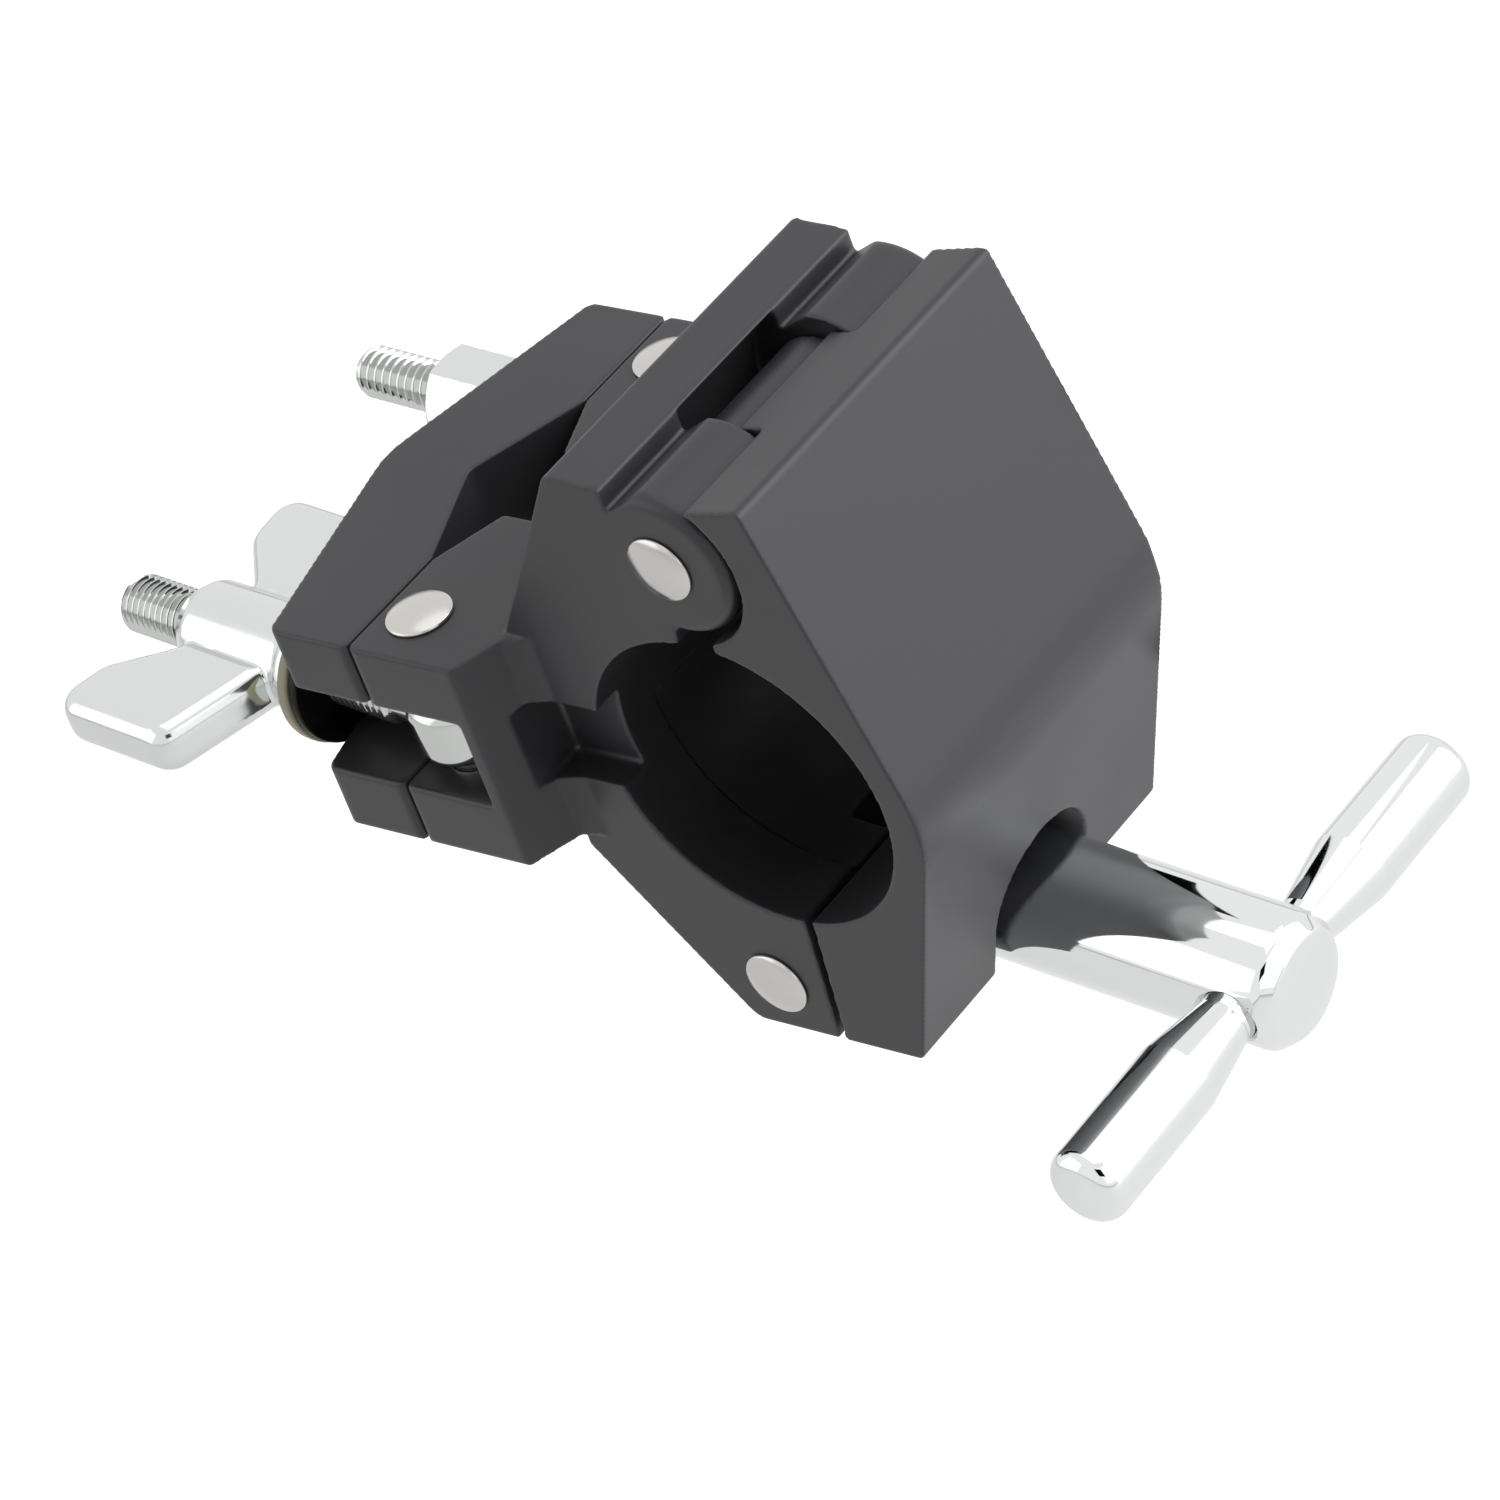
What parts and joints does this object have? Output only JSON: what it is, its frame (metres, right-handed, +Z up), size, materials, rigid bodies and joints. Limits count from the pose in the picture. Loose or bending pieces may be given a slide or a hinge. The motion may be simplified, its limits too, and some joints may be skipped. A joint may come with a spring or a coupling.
{
  "type": "rack tube clamp",
  "caption": "Two-way rack clamp: a hinged tube clamp closed by a swing bolt with a T-handle, and a V clamp on its back drawn up by a wing nut and a long hex nut.",
  "frame": {"origin": "on the axis of the clamped tube, at the middle of the clamp's width", "axes": "+X from the V clamp to the T-handle, +Y along the clamped tube, +Z up, with the hinge on top"},
  "size_m": [0.1421, 0.0762, 0.0832],
  "materials": {
    "black_casting": "die-cast aluminium with a semi-gloss black coat",
    "nickel_rivet": "satin nickel-plated steel rivet",
    "zinc_steel": "zinc-plated steel",
    "black_steel": "blackened steel",
    "nylon": "natural cream nylon",
    "chrome": "bright chrome plate over steel"
  },
  "bodies": {
    "casting": {"clamp_body": "black_casting", "hinge_rivet": "nickel_rivet", "latch_rivet": "nickel_rivet", "jaw_rivet_near": "nickel_rivet", "jaw_rivet_far": "nickel_rivet"},
    "cover": {"clamp_cover": "black_casting"},
    "t_bolt": {"handle_bolt": "zinc_steel"},
    "t_washers": {"handle_nylon_washer": "nylon", "handle_steel_washer": "zinc_steel"},
    "t_handle": {"handle_hub": "chrome", "handle_arm_near": "chrome", "handle_arm_far": "chrome"},
    "jaw": {"outer_jaw": "black_casting"},
    "wing_stud": {"wing_bolt": "zinc_steel"},
    "wing_washers": {"wing_nylon_washer": "nylon", "wing_steel_washer": "black_steel"},
    "wing_nut_body": {"wing_nut": "chrome"},
    "hex_stud": {"hex_bolt": "zinc_steel"},
    "hex_washers": {"hex_nylon_washer": "nylon", "hex_steel_washer": "black_steel"},
    "hex_nut_body": {"hex_nut": "chrome"}
  },
  "joints": [
    {"name": "cover_open", "type": "hinge", "parent": "casting", "child": "cover", "pos_m": [0.0003, 0, 0.0296], "axis": [0, -1, 0], "range_deg": [0, 17.24]},
    {"name": "handle_swing", "type": "hinge", "parent": "casting", "child": "t_bolt", "pos_m": [-0.0064, 0, -0.0297], "axis": [0, 1, 0], "range_deg": [0, 120]},
    {"name": "handle_travel", "type": "slide", "parent": "t_bolt", "child": "t_washers", "axis": [0.9925, 0, -0.1219], "range_m": [0, 0.02]},
    {"name": "handle_turn", "type": "hinge", "parent": "t_washers", "child": "t_handle", "pos_m": [-0.0064, 0, -0.0297], "axis": [0.9925, 0, -0.1219], "range_deg": [0, 5761]},
    {"name": "jaw_slide", "type": "slide", "parent": "casting", "child": "jaw", "axis": [-1, 0, 0], "range_m": [0, 0.01]},
    {"name": "wing_bolt_swing", "type": "hinge", "parent": "casting", "child": "wing_stud", "pos_m": [-0.0396, -0.023, 0.0011], "axis": [0, 0, 1], "range_deg": [0, 110]},
    {"name": "wing_travel", "type": "slide", "parent": "wing_stud", "child": "wing_washers", "axis": [-0.9945, 0.1045, 0], "range_m": [0, 0.0101]},
    {"name": "wing_nut_turn", "type": "hinge", "parent": "wing_washers", "child": "wing_nut_body", "pos_m": [-0.0396, -0.023, 0.0011], "axis": [-0.9945, 0.1045, 0], "range_deg": [0, 3621]},
    {"name": "hex_bolt_swing", "type": "hinge", "parent": "casting", "child": "hex_stud", "pos_m": [-0.0396, 0.023, 0.0011], "axis": [0, 0, -1], "range_deg": [0, 110]},
    {"name": "hex_travel", "type": "slide", "parent": "hex_stud", "child": "hex_washers", "axis": [-0.9976, 0.0698, 0], "range_m": [0, 0.0101]},
    {"name": "hex_nut_turn", "type": "hinge", "parent": "hex_washers", "child": "hex_nut_body", "pos_m": [-0.0396, 0.023, 0.0011], "axis": [-0.9976, 0.0698, 0], "range_deg": [0, 2850]}
  ],
  "couplings": [
    {"joint": "handle_turn", "follows": "handle_travel", "rad_per_m": 5026.5},
    {"joint": "cover_open", "follows": "handle_travel", "rad_per_m": 15.038},
    {"joint": "wing_travel", "follows": "jaw_slide", "ratio": 1.0055},
    {"joint": "wing_nut_turn", "follows": "jaw_slide", "rad_per_m": 6317.8},
    {"joint": "hex_travel", "follows": "jaw_slide", "ratio": 1.0024},
    {"joint": "hex_nut_turn", "follows": "jaw_slide", "rad_per_m": 4959.5}
  ]
}
